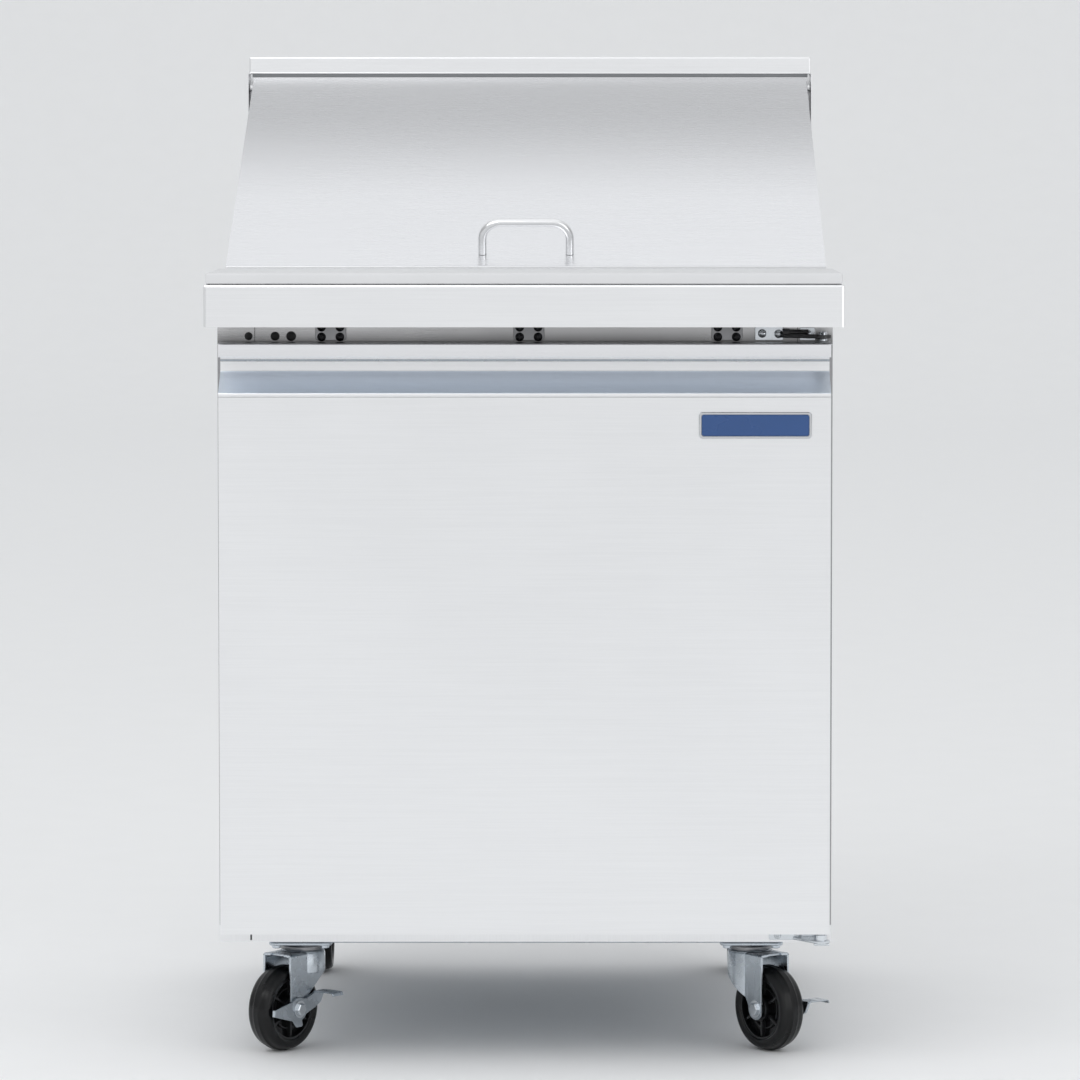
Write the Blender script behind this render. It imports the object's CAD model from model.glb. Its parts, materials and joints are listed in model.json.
"""Looks of a single-door refrigerated sandwich prep table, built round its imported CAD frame.

Metres, +Z up, the front towards -Y. Every place is worked out from the frame's boxes and joints.
"""
import json
import math

import bmesh
import bpy
from mathutils import Matrix, Vector


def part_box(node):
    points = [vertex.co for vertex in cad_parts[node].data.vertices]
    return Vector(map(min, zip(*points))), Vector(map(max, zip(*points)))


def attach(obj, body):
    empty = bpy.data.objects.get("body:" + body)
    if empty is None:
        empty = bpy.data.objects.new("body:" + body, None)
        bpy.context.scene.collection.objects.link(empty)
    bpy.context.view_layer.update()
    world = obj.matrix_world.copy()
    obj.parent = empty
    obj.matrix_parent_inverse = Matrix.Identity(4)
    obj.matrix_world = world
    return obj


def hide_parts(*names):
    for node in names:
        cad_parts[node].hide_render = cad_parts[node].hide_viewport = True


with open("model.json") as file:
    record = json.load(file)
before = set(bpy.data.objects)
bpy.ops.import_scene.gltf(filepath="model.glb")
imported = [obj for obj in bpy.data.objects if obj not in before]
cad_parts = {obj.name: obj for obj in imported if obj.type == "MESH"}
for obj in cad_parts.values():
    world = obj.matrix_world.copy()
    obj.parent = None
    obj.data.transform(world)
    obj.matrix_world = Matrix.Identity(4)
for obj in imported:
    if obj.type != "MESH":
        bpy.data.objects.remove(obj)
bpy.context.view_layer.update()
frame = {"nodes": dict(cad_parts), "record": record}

CASTERS = ("front_left", "front_right", "rear_left", "rear_right")
JOINTS = {joint["name"]: joint for joint in frame["record"]["behaviour"]["joints"]}
GAP = 0.0003


# ---------------------------------------------------------------- materials

def nodes_of(name):
    """A new node material and its tree, shader and object coordinates."""
    material = bpy.data.materials.new(name)
    material.use_nodes = True
    tree = material.node_tree
    shader = tree.nodes["Principled BSDF"]
    coords = tree.nodes.new("ShaderNodeTexCoord")
    return material, tree, shader, coords.outputs["Object"]


def noise(tree, coords, scale, stretch=(1, 1, 1), detail=3.0):
    """Noise in object space, stretched along an axis by small factors."""
    mapping = tree.nodes.new("ShaderNodeMapping")
    mapping.inputs["Scale"].default_value = stretch
    tree.links.new(coords, mapping.inputs["Vector"])
    texture = tree.nodes.new("ShaderNodeTexNoise")
    texture.inputs["Scale"].default_value = scale
    texture.inputs["Detail"].default_value = detail
    tree.links.new(mapping.outputs["Vector"], texture.inputs["Vector"])
    return texture.outputs["Fac"]


def ramp(tree, value, low, high, start, end):
    """Map a value from low..high to start..end."""
    node = tree.nodes.new("ShaderNodeMapRange")
    node.inputs["From Min"].default_value = low
    node.inputs["From Max"].default_value = high
    node.inputs["To Min"].default_value = start
    node.inputs["To Max"].default_value = end
    tree.links.new(value, node.inputs["Value"])
    return node.outputs["Result"]


def blend_colour(tree, value, first, second):
    """Mix two colours by a value."""
    node = tree.nodes.new("ShaderNodeMix")
    node.data_type = "RGBA"
    node.inputs["A"].default_value = (*first, 1)
    node.inputs["B"].default_value = (*second, 1)
    tree.links.new(value, node.inputs["Factor"])
    return node.outputs["Result"]


def math_of(tree, operation, *values):
    """A math node on one or two values."""
    node = tree.nodes.new("ShaderNodeMath")
    node.operation = operation
    for value, socket in zip(values, node.inputs):
        tree.links.new(value, socket)
    return node.outputs[0]


def bump(tree, shader, height, distance, strength=1.0):
    """Drive the shader's normal from a height."""
    node = tree.nodes.new("ShaderNodeBump")
    node.inputs["Strength"].default_value = strength
    node.inputs["Distance"].default_value = distance
    tree.links.new(height, node.inputs["Height"])
    tree.links.new(node.outputs["Normal"], shader.inputs["Normal"])


def edge_wear(tree):
    """About 1 on convex edges and 0 elsewhere."""
    geometry = tree.nodes.new("ShaderNodeNewGeometry")
    return ramp(tree, geometry.outputs["Pointiness"], 0.52, 0.60, 0.0, 1.0)


def wear_edges(tree, shader, tint, worn):
    """Colour a shader with a tint that turns to a worn colour on convex edges."""
    node = tree.nodes.new("ShaderNodeMix")
    node.data_type = "RGBA"
    node.inputs["B"].default_value = (*[min(1, channel) for channel in worn], 1)
    tree.links.new(edge_wear(tree), node.inputs["Factor"])
    tree.links.new(tint, node.inputs["A"])
    tree.links.new(node.outputs["Result"], shader.inputs["Base Color"])


GRAINS = {"X": (0.012, 1, 1), "Y": (1, 0.012, 1), "Z": (1, 1, 0.012)}


def height_fade(tree, coords, fade):
    """A factor that runs from fade[2] at height fade[0] to 1 at height fade[1]."""
    split = tree.nodes.new("ShaderNodeSeparateXYZ")
    tree.links.new(coords, split.inputs["Vector"])
    node = tree.nodes.new("ShaderNodeMapRange")
    node.interpolation_type = "SMOOTHSTEP"
    for socket, value in zip(("From Min", "From Max", "To Min", "To Max"), (*sorted(fade[:2]), 0, 1)):
        node.inputs[socket].default_value = value
    tree.links.new(split.outputs["Z"], node.inputs["Value"])
    start, end = (fade[2], 1.0) if fade[0] < fade[1] else (1.0, fade[2])
    return ramp(tree, node.outputs["Result"], 0.0, 1.0, start, end)


def brushed_metal(name, colour, grain="X", roughness=0.30, depth=0.00002, spread=0.05, fade=None):
    """Brushed sheet: fine scratches along one axis, with faint handling marks."""
    material, tree, shader, coords = nodes_of(name)
    fine = noise(tree, coords, 1400, GRAINS[grain], 2.0)
    coarse = noise(tree, coords, 520, GRAINS[grain], 2.0)
    marks = noise(tree, coords, 5.0, detail=4.0)
    grain_value = ramp(tree, math_of(tree, "ADD", fine, coarse), 0.7, 1.3, 0.0, 1.0)
    dark = tuple(channel * 0.965 for channel in colour)
    tint = blend_colour(tree, grain_value, dark, colour)
    wear = blend_colour(tree, edge_wear(tree), (0, 0, 0), (0.06, 0.06, 0.06))
    total = tree.nodes.new("ShaderNodeVectorMath")
    total.operation = "ADD"
    tree.links.new(tint, total.inputs[0])
    tree.links.new(wear, total.inputs[1])
    finished = total.outputs["Vector"]
    if fade:
        shade = tree.nodes.new("ShaderNodeVectorMath")
        shade.operation = "SCALE"
        tree.links.new(finished, shade.inputs[0])
        tree.links.new(height_fade(tree, coords, fade), shade.inputs["Scale"])
        finished = shade.outputs["Vector"]
    tree.links.new(finished, shader.inputs["Base Color"])
    shader.inputs["Metallic"].default_value = 1.0
    rough = math_of(
        tree, "ADD", ramp(tree, marks, 0.3, 0.7, roughness - spread / 2, roughness + spread / 2),
        ramp(tree, fine, 0.3, 0.7, -0.02, 0.02))
    tree.links.new(rough, shader.inputs["Roughness"])
    bump(tree, shader, grain_value, depth)
    return material


def plated_metal(name, colour, roughness=0.26):
    """Zinc plate or cast metal: soft blotches, fine spangle and brighter worn edges."""
    material, tree, shader, coords = nodes_of(name)
    cloud = noise(tree, coords, 55, detail=5.0)
    fine = noise(tree, coords, 900, detail=2.0)
    dark = tuple(channel * 0.84 for channel in colour)
    tint = blend_colour(tree, ramp(tree, cloud, 0.35, 0.65, 0.0, 1.0), dark, colour)
    wear_edges(tree, shader, tint, [channel * 1.2 for channel in colour])
    shader.inputs["Metallic"].default_value = 1.0
    tree.links.new(
        ramp(tree, cloud, 0.3, 0.7, roughness - 0.06, roughness + 0.10), shader.inputs["Roughness"])
    bump(tree, shader, fine, 0.00012, 0.4)
    return material


def moulded(name, colour, roughness=0.45, grain=420, depth=0.00008, wear=1.25, mottle=0.86, shine=0.5):
    """Plastic, rubber or paint with a fine moulded grain and slightly lighter edges."""
    material, tree, shader, coords = nodes_of(name)
    texture = noise(tree, coords, grain, detail=3.0)
    patches = noise(tree, coords, 12, detail=4.0)
    dark = tuple(channel * mottle for channel in colour)
    tint = blend_colour(tree, ramp(tree, patches, 0.3, 0.7, 0.0, 1.0), dark, colour)
    wear_edges(tree, shader, tint, [channel * wear + 0.01 for channel in colour])
    shader.inputs["Specular IOR Level"].default_value = shine
    tree.links.new(
        ramp(tree, patches, 0.3, 0.7, roughness - 0.05, roughness + 0.07), shader.inputs["Roughness"])
    bump(tree, shader, texture, depth, 0.6)
    return material


def local_height(node, height):
    """A world height in a CAD node's own coordinates."""
    return (frame["nodes"][node].matrix_world.inverted() @ Vector((0, 0, height))).z


STEEL = (0.80, 0.805, 0.815)
LID_FADE = (local_height("lid_skin", 1.125), local_height("lid_skin", 1.000), 0.66)
HEADER_FADE = (0.846, 0.868, 0.36)
MATERIALS = {
    "door": brushed_metal("door_stainless", STEEL, "X", 0.34, 0.000015),
    "lid": brushed_metal("lid_stainless", (0.79, 0.795, 0.815), "X", 0.27, 0.00001, fade=LID_FADE),
    "rail": brushed_metal("rail_stainless", STEEL, "X", 0.33, 0.000015),
    "side": brushed_metal("side_stainless", (0.78, 0.785, 0.795), "Z", 0.32, 0.00002),
    "pull": brushed_metal("pull_stainless", (0.76, 0.765, 0.785), "X", 0.22, 0.00001),
    "band": brushed_metal("pull_slope_stainless", (0.82, 0.88, 0.95), "X", 0.36, 0.00001),
    "rim": brushed_metal("badge_rim", (0.60, 0.61, 0.63), "X", 0.22, 0.00001),
    "pan": brushed_metal("pan_stainless", (0.76, 0.765, 0.775), "X", 0.24, 0.00003),
    "rod": brushed_metal("rod_stainless", (0.84, 0.845, 0.855), "X", 0.18, 0.00001),
    "liner": brushed_metal("liner_aluminium", (0.80, 0.81, 0.82), "Z", 0.38, 0.00003),
    "zinc": plated_metal("zinc_plate", (0.46, 0.50, 0.54), 0.24),
    "zinc_bright": plated_metal("bright_zinc", (0.60, 0.63, 0.66), 0.18),
    "copper": plated_metal("copper_tube", (0.80, 0.42, 0.26), 0.28),
    "black_steel": moulded("black_enamel", (0.018, 0.018, 0.020), 0.32, 500, 0.00005),
    "black_screw": plated_metal("black_zinc", (0.045, 0.045, 0.048), 0.34),
    "black_plastic": moulded("black_plastic", (0.020, 0.020, 0.021), 0.48),
    "rubber": moulded("tyre_rubber", (0.0035, 0.0038, 0.0044), 0.27, 300, 0.00008, 2.0, shine=0.30),
    "hub": moulded("hub_plastic", (0.0045, 0.0048, 0.0055), 0.22, 260, 0.00006, 2.2, shine=0.40),
    "gasket": moulded("gasket_vinyl", (0.30, 0.31, 0.32), 0.60, 350),
    "board": moulded("board_polyethylene", (0.66, 0.665, 0.675), 0.42, 750, 0.00012, 1.04, 0.95),
    "foam": moulded("insulation_foam", (0.80, 0.70, 0.42), 0.90, 160, 0.0006, 1.1),
    "wire": moulded("coated_wire", (0.80, 0.81, 0.82), 0.36, 300),
    "badge": moulded("badge_blue", (0.019, 0.066, 0.204), 0.28, 600, 0.00003),
    "white_plastic": moulded("white_plastic", (0.78, 0.79, 0.80), 0.40),
    "grey_plastic": moulded("grey_plastic", (0.20, 0.21, 0.22), 0.45),
    "floor": moulded("studio_floor", (0.88, 0.885, 0.89), 0.75, 60, 0.00002, 1.0, 0.99, 0.1),
    "header": brushed_metal("header_stainless", (0.59, 0.585, 0.59), "X", 0.30, 0.00003, 0.12, HEADER_FADE),
    "dark_steel": brushed_metal("bracket_steel", (0.30, 0.30, 0.31), "Z", 0.34, 0.00003, 0.10),
}


# ---------------------------------------------------------------- making pieces

def to_mesh(name, bm):
    """Turn a bmesh into a mesh and free it."""
    mesh = bpy.data.meshes.new(name)
    bm.to_mesh(mesh)
    bm.free()
    return mesh


def link(name, data):
    """An object for a mesh, a light or a camera, put into the scene."""
    obj = bpy.data.objects.new(name, data)
    bpy.context.scene.collection.objects.link(obj)
    return obj


def put(place, bm):
    """Move everything in a bmesh to its place."""
    bmesh.ops.transform(bm, matrix=place, verts=bm.verts)


def merge(target, source):
    """Copy one bmesh into another and free it."""
    mesh = to_mesh("joined", source)
    target.from_mesh(mesh)
    bpy.data.meshes.remove(mesh)


def finish_piece(name, bm, material, body, smooth=35):
    """Turn a bmesh into a piece that rides on a body."""
    bmesh.ops.recalc_face_normals(bm, faces=bm.faces)
    mesh = to_mesh(name, bm)
    mesh.shade_smooth()
    mesh.set_sharp_from_angle(angle=math.radians(smooth))
    mesh.materials.append(MATERIALS[material])
    obj = link(name, mesh)
    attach(obj, body)
    return obj


def block(bm, low, high, rounding=0.0, segments=2):
    """Add a box with rounded edges to a bmesh."""
    low = Vector(low)
    high = Vector(high)
    made = bmesh.ops.create_cube(bm, size=1, matrix=Matrix.Translation((low + high) / 2)
                                 @ Matrix.Diagonal((*(high - low), 1)))
    if rounding:
        edges = dict.fromkeys(edge for vert in made["verts"] for edge in vert.link_edges)
        bmesh.ops.bevel(bm, geom=list(edges), offset=rounding, segments=segments, affect="EDGES",
                        profile=0.5, clamp_overlap=True)


def aim(axis):
    """Rotation that takes +Z to an axis."""
    return Vector(axis).to_track_quat("Z", "Y").to_matrix().to_4x4()


def lathe(bm, profile, centre, axis, steps=32, closed=False):
    """Turn (radius, height) pairs about an axis. Radius 0 closes on the axis."""
    place = Matrix.Translation(centre) @ aim(axis)
    rings = []
    for radius, height in profile:
        if radius < 1e-6:
            rings.append([bm.verts.new(place @ Vector((0, 0, height)))])
            continue
        ring = []
        for i in range(steps):
            angle = 2 * math.pi * i / steps
            ring.append(bm.verts.new(
                place @ Vector((radius * math.cos(angle), radius * math.sin(angle), height))))
        rings.append(ring)
    pairs = list(zip(rings, rings[1:]))
    if closed:
        pairs.append((rings[-1], rings[0]))
    for first, second in pairs:
        join_rings(bm, first, second, steps)


def join_rings(bm, first, second, steps):
    """Faces between two rings, either of which may be a single point."""
    for i in range(steps):
        after = (i + 1) % steps
        if len(first) == 1 and len(second) == 1:
            return
        if len(first) == 1:
            bm.faces.new((first[0], second[i], second[after]))
        elif len(second) == 1:
            bm.faces.new((first[i], first[after], second[0]))
        else:
            bm.faces.new((first[i], first[after], second[after], second[i]))


def sweep(bm, points, radius, sides=14, closed=False):
    """A round rod along points, with ends closed unless it is a loop."""
    places = [Vector(point) for point in points]
    count = len(places)
    normal = None
    rings = []
    for i, place in enumerate(places):
        ahead = places[(i + 1) % count] if closed or i + 1 < count else place
        behind = places[i - 1] if closed or i > 0 else place
        along = (ahead - behind).normalized()
        if normal is None:
            normal = along.orthogonal().normalized()
        normal = (normal - along * normal.dot(along)).normalized()
        across = along.cross(normal)
        ring = []
        for k in range(sides):
            angle = 2 * math.pi * k / sides
            ring.append(bm.verts.new(
                place + radius * (math.cos(angle) * normal + math.sin(angle) * across)))
        rings.append(ring)
    for first, second in zip(rings, rings[1:]):
        join_rings(bm, first, second, sides)
    if closed:
        join_rings(bm, rings[-1], rings[0], sides)
    else:
        bm.faces.new(rings[0])
        bm.faces.new(list(reversed(rings[-1])))


def arc(centre, radius, start, end, steps):
    """Flat points along an arc, in degrees."""
    points = []
    for i in range(steps + 1):
        angle = math.radians(start + (end - start) * i / steps)
        points.append((centre[0] + radius * math.cos(angle), centre[1] + radius * math.sin(angle)))
    return points


def rounded_rectangle(half_width, half_height, radius, steps=6, centre=(0, 0)):
    """Flat outline of a rectangle with round corners."""
    points = []
    for side, level, start in ((1, 1, 0), (-1, 1, 90), (-1, -1, 180), (1, -1, 270)):
        middle = (centre[0] + side * (half_width - radius), centre[1] + level * (half_height - radius))
        points += arc(middle, radius, start, start + 90, steps)
    return points


PLANES = {
    "XY": lambda a, b, c: Vector((a, b, c)),
    "XZ": lambda a, b, c: Vector((a, c, b)),
    "YZ": lambda a, b, c: Vector((c, a, b)),
}


def inset_loops(half_wide, half_tall, centre, rows, lay, steps=6):
    """Rounded rectangles for loft, one for each (inset, level, corner radius)."""
    loops = []
    for inset, level, radius in rows:
        flat = rounded_rectangle(half_wide - inset, half_tall - inset, radius, steps, centre)
        loops.append([lay(across, up, level) for across, up in flat])
    return loops


def loft(bm, loops, cap_start=True, closed=False):
    """Faces between outlines of the same number of points."""
    rings = [[bm.verts.new(point) for point in loop] for loop in loops]
    for first, second in zip(rings, rings[1:]):
        join_rings(bm, first, second, len(first))
    if closed:
        join_rings(bm, rings[-1], rings[0], len(rings[0]))
        return
    if cap_start:
        bm.faces.new(list(reversed(rings[0])))
    bm.faces.new(rings[-1])


def prism(bm, outline, plane, low, high, rounding=0.0):
    """Extrude a flat outline across its plane, with softened rims."""
    lay = PLANES[plane]
    levels = [(low, 0.0), (high, 0.0)]
    if rounding:
        levels = [(low, rounding), (low + rounding, 0.0), (high - rounding, 0.0), (high, rounding)]
    loops = []
    for level, inset in levels:
        flat = shrink(outline, inset) if inset else outline
        loops.append([lay(across, up, level) for across, up in flat])
    loft(bm, loops)


def shrink(outline, inset):
    """Move an outline inwards by a small distance along its corners' bisectors."""
    count = len(outline)
    area = sum(outline[i][0] * outline[(i + 1) % count][1] - outline[(i + 1) % count][0] * outline[i][1]
               for i in range(count))
    turn = 1 if area > 0 else -1
    moved = []
    for i, (across, up) in enumerate(outline):
        before = Vector(outline[i - 1])
        here = Vector((across, up))
        after = Vector(outline[(i + 1) % count])
        first = (here - before).normalized()
        second = (after - here).normalized()
        inward = Vector((-first.y - second.y, first.x + second.x))
        if inward.length < 1e-9:
            moved.append((across, up))
            continue
        inward = inward.normalized() * turn
        lean = max(0.5, abs(inward.dot(Vector((-first.y, first.x)))))
        moved.append(tuple(here + inward * inset / lean))
    return moved


# ---------------------------------------------------------------- fasteners

def make_screw_mesh():
    """A pan head of unit radius, facing +Z, with a cross recess cut into it."""
    bm = bmesh.new()
    lathe(bm, [(0, 0.62)] + [(math.sin(math.radians(a)) * 0.96, 0.12 + 0.50 * math.cos(math.radians(a)))
                             for a in (20, 40, 60, 78)]
          + [(1.0, 0.10), (1.0, 0.0), (0, 0.0)], (0, 0, 0), (0, 0, 1), 28)
    bmesh.ops.recalc_face_normals(bm, faces=bm.faces)
    head = link("screw_head", to_mesh("screw_head", bm))
    cut = bmesh.new()
    arm = 0.58
    half = 0.12
    cross = [(arm, -half), (arm, half), (half, half), (half, arm), (-half, arm), (-half, half),
             (-arm, half), (-arm, -half), (-half, -half), (-half, -arm), (half, -arm), (half, -half)]
    loft(cut, [[Vector((a * 0.55, b * 0.55, 0.24)) for a, b in cross],
               [Vector((a, b, 0.80)) for a, b in cross]])
    bmesh.ops.recalc_face_normals(cut, faces=cut.faces)
    recess = link("screw_recess", to_mesh("screw_recess", cut))
    modifier = head.modifiers.new("recess", "BOOLEAN")
    modifier.solver = "EXACT"
    modifier.object = recess
    bpy.context.view_layer.update()
    depsgraph = bpy.context.evaluated_depsgraph_get()
    mesh = bpy.data.meshes.new_from_object(head.evaluated_get(depsgraph))
    for obj in (head, recess):
        bpy.data.objects.remove(obj, do_unlink=True)
    return mesh


SCREW = make_screw_mesh()


def screws(name, places, axis, radius, material, body):
    """One piece of pan-head screws standing on a face, each turned a little further."""
    bm = bmesh.new()
    for number, place in enumerate(places):
        part = bmesh.new()
        part.from_mesh(SCREW)
        matrix = (Matrix.Translation(place) @ aim(axis) @ Matrix.Rotation(0.4 + 1.1 * number, 4, "Z")
                  @ Matrix.Scale(radius, 4))
        put(matrix, part)
        merge(bm, part)
    return finish_piece(name, bm, material, body)


def hexagon_bolts(bm, places, axis, radius, height):
    """Hexagon heads with a chamfered crown and a washer."""
    for place in places:
        lathe(bm, [(0, 0), (radius * 1.35, 0), (radius * 1.35, height * 0.18), (radius * 1.02, height * 0.20),
                   (0, height * 0.20)], place, axis, 24)
        lathe(bm, [(0, height * 0.2), (radius, height * 0.2), (radius, height * 0.85),
                   (radius * 0.86, height), (0, height)], place, axis, 6)


# ---------------------------------------------------------------- cabinet

def paint(material, *names):
    """Give CAD nodes a finished material."""
    for name in names:
        obj = frame["nodes"][name]
        obj.data.materials.clear()
        obj.data.materials.append(MATERIALS[material])
        for polygon in obj.data.polygons:
            polygon.material_index = 0


def paint_frame():
    """Materials of the CAD nodes that stay as they are."""
    paint("side", "cabinet_shell", "hood_shell")
    paint("rail", "worktop", "front_rail", "hood_cap")
    paint("pan", "pan_bar_front", "pan_bar_rear")
    paint("door", "door_skin")
    paint("lid", "lid_skin")
    paint("liner", "inner_liner")
    paint("foam", "foam_core")
    paint("zinc", "base_pan")
    paint("black_steel", "condenser_fan_shroud")


def build_board():
    """Cutting board with softened edges."""
    low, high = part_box("cutting_board")
    bm = bmesh.new()
    block(bm, low, high, 0.0018, 4)
    board = finish_piece("cutting_board_slab", bm, "board", "board")
    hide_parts("cutting_board")


def build_rail_details():
    """Turned-in lip under the shelf rail, its side returns and the shelf's stiffening channel."""
    low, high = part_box("front_rail")
    bm = bmesh.new()
    block(bm, (low.x + 0.002, low.y + 0.0015, low.z), (high.x - 0.002, low.y + 0.016, low.z + 0.0012), 0.0003)
    for side in (low.x + 0.0015, high.x - 0.0135):
        block(bm, (side, low.y + 0.016, low.z), (side + 0.012, high.y - 0.002, low.z + 0.0012), 0.0003)
    block(bm, (low.x + 0.03, low.y + 0.045, high.z - 0.016), (high.x - 0.03, low.y + 0.070, high.z - 0.0016),
          0.001)
    finish_piece("rail_return_lip", bm, "rail", "cabinet")


def build_brackets():
    """Pressed angle brackets with a stiffening rib, and their black screws."""
    heads = []
    for name in ("bracket_left", "bracket_centre", "bracket_right"):
        low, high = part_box(name)
        middle = (low.x + high.x) / 2
        half = (high.x - low.x) / 2
        steel = 0.0025
        bm = bmesh.new()
        height = (high.z - low.z) / 2
        face = rounded_rectangle(half, height, 0.004, 5, (middle, low.z + height))
        prism(bm, face, "XZ", high.y - steel, high.y, 0.0006)
        block(bm, (low.x, low.y, high.z - steel), (high.x, high.y - steel * 0.5, high.z), 0.0006)
        rib = [(high.y - steel, high.z - steel), (high.y - steel, high.z - 0.040),
               (high.y - 0.050, high.z - steel)]
        prism(bm, rib, "YZ", middle - 0.0012, middle + 0.0012)
        piece = finish_piece(f"{name}_pressing", bm, "dark_steel", "cabinet")
        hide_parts(name)
        front = high.y - steel
        for side in (-1, 1):
            for level in (0.0042, 0.0155):
                heads.append((middle + side * 0.01075, front, low.z + level))
    screws("bracket_screws", heads, (0, -1, 0), 0.0052, "black_screw", "cabinet")


def build_header_details():
    """Hole plugs, the strip above the door, the shell's edges beside it and the corner seams."""
    low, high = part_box("cabinet_shell")
    front = low.y
    strip_top = 0.905
    bm = bmesh.new()
    for across, radius in ((low.x + 0.0365, 0.0047), (low.x + 0.0675, 0.0053), (low.x + 0.0862, 0.0058)):
        lathe(bm, [(0, 0.0016), (radius * 0.55, 0.0015), (radius * 0.85, 0.0010), (radius, 0.0004),
                   (radius, -0.0002), (0, -0.0002)], (across, front, 0.8545), (0, -1, 0), 24)
    finish_piece("header_hole_plugs", bm, "black_plastic", "cabinet")
    door_low, door_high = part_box("door_skin")
    strip = bmesh.new()
    near = front - 0.00028
    far = front - 0.00002
    block(strip, (low.x + 0.0002, near, door_high.z - 0.003), (high.x - 0.0002, far, strip_top))
    finish_piece("header_strip", strip, "header", "cabinet")
    returns = bmesh.new()
    for left, right in ((low.x + 0.0002, door_low.x), (door_high.x, high.x - 0.0002)):
        block(returns, (left, near, low.z + 0.0200), (right, far, door_high.z - 0.0035))
    finish_piece("side_returns", returns, "dark_steel", "cabinet")
    seam = bmesh.new()
    width = 0.0006
    for across in (low.x + 0.0435, high.x - 0.0415):
        block(seam, (across, front - 0.0005, door_high.z - 0.002),
              (across + width, front - 0.0003, strip_top))
    block(seam, (low.x + 0.036, front - 0.0002, low.z + 0.002),
          (low.x + 0.038, front + 0.0002, low.z + 0.016))
    finish_piece("cabinet_seams", seam, "black_plastic", "cabinet")


def build_hinges():
    """Upper bracket with its black arm and pin, and the lower bracket with its pin and bushing."""
    pin = Vector(JOINTS["door_hinge"]["pos_m"])
    low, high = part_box("hinge_upper")
    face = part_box("cabinet_shell")[0].y
    front = face - GAP - 0.0028
    arm_top = 0.8572
    bm = bmesh.new()
    strip = rounded_rectangle(0.0165, 0.0080, 0.002, 4, (low.x + 0.0165, 0.8577))
    prism(bm, strip, "XZ", front, face - GAP, 0.0004)
    foot = rounded_rectangle(0.009, 0.0075, 0.002, 4, (low.x + 0.0610, arm_top))
    prism(bm, foot, "XZ", front, face - GAP, 0.0004)
    upper = finish_piece("hinge_upper_plate", bm, "zinc_bright", "cabinet")
    arm = bmesh.new()
    wing = [(low.x + 0.030, face - 0.004), (pin.x + 0.004, face - 0.004)]
    wing += arc((pin.x, pin.y), 0.010, 20, -150, 10)
    wing += [(low.x + 0.034, face - 0.014)]
    prism(arm, wing, "XY", 0.8530, arm_top, 0.0005)
    sweep(arm, [(low.x + 0.034, face - 0.0075, 0.8590), (pin.x - 0.016, face - 0.0110, 0.8590)], 0.0034, 16)
    block(arm, (low.x + 0.0320, face - 0.0128, 0.8552), (low.x + 0.0400, face - 0.0030, 0.8632), 0.0006)
    arm_piece = finish_piece("hinge_upper_arm", arm, "black_steel", "cabinet")
    nub = bmesh.new()
    lathe(nub, [(0, 0.8612), (0.0042, 0.8608), (0.0048, 0.8596), (0.0048, 0.8390), (0.0040, 0.8380),
                (0, 0.8380)], (pin.x, pin.y, 0), (0, 0, 1), 24)
    pin_piece = finish_piece("hinge_upper_pin", nub, "zinc_bright", "cabinet")
    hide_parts("hinge_upper")
    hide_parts("hinge_upper")
    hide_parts("hinge_upper")
    screws("hinge_upper_screws", [(low.x + 0.0085, front, 0.8578), (low.x + 0.0275, front, 0.8573),
                                  (low.x + 0.0615, front, 0.8568)],
           (0, -1, 0), 0.0050, "zinc_bright", "cabinet")

    low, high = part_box("hinge_lower")
    strip_level = 0.1512
    bm = bmesh.new()
    strip = rounded_rectangle((high.x - 0.004 - low.x) / 2, 0.0055, 0.0015, 4,
                              ((low.x + high.x - 0.004) / 2, strip_level))
    prism(bm, strip, "XZ", front, face - GAP, 0.0004)
    wing = [(low.x + 0.028, face - 0.004), (pin.x + 0.004, face - 0.004)]
    wing += arc((pin.x, pin.y), 0.010, 20, -140, 10)
    prism(bm, wing, "XY", 0.1463, 0.1495, 0.0005)
    block(bm, (pin.x - 0.009, pin.y - 0.008, 0.1440), (pin.x + 0.009, pin.y + 0.008, 0.1464), 0.0008)
    lathe(bm, [(0, 0.1735), (0.0040, 0.1730), (0.0048, 0.1715), (0.0048, 0.1495)],
          (pin.x, pin.y, 0), (0, 0, 1), 24)
    lathe(bm, [(0.0048, 0.1560), (0.0066, 0.1556), (0.0066, 0.1494), (0.0048, 0.1494)],
          (pin.x, pin.y, 0), (0, 0, 1), 24, closed=True)
    lower = finish_piece("hinge_lower_bracket", bm, "zinc_bright", "cabinet")
    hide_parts("hinge_lower")
    screws("hinge_lower_screws", [(low.x + across, front, strip_level) for across in (0.010, 0.034)],
           (0, -1, 0), 0.0042, "zinc_bright", "cabinet")


# ---------------------------------------------------------------- door

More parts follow.
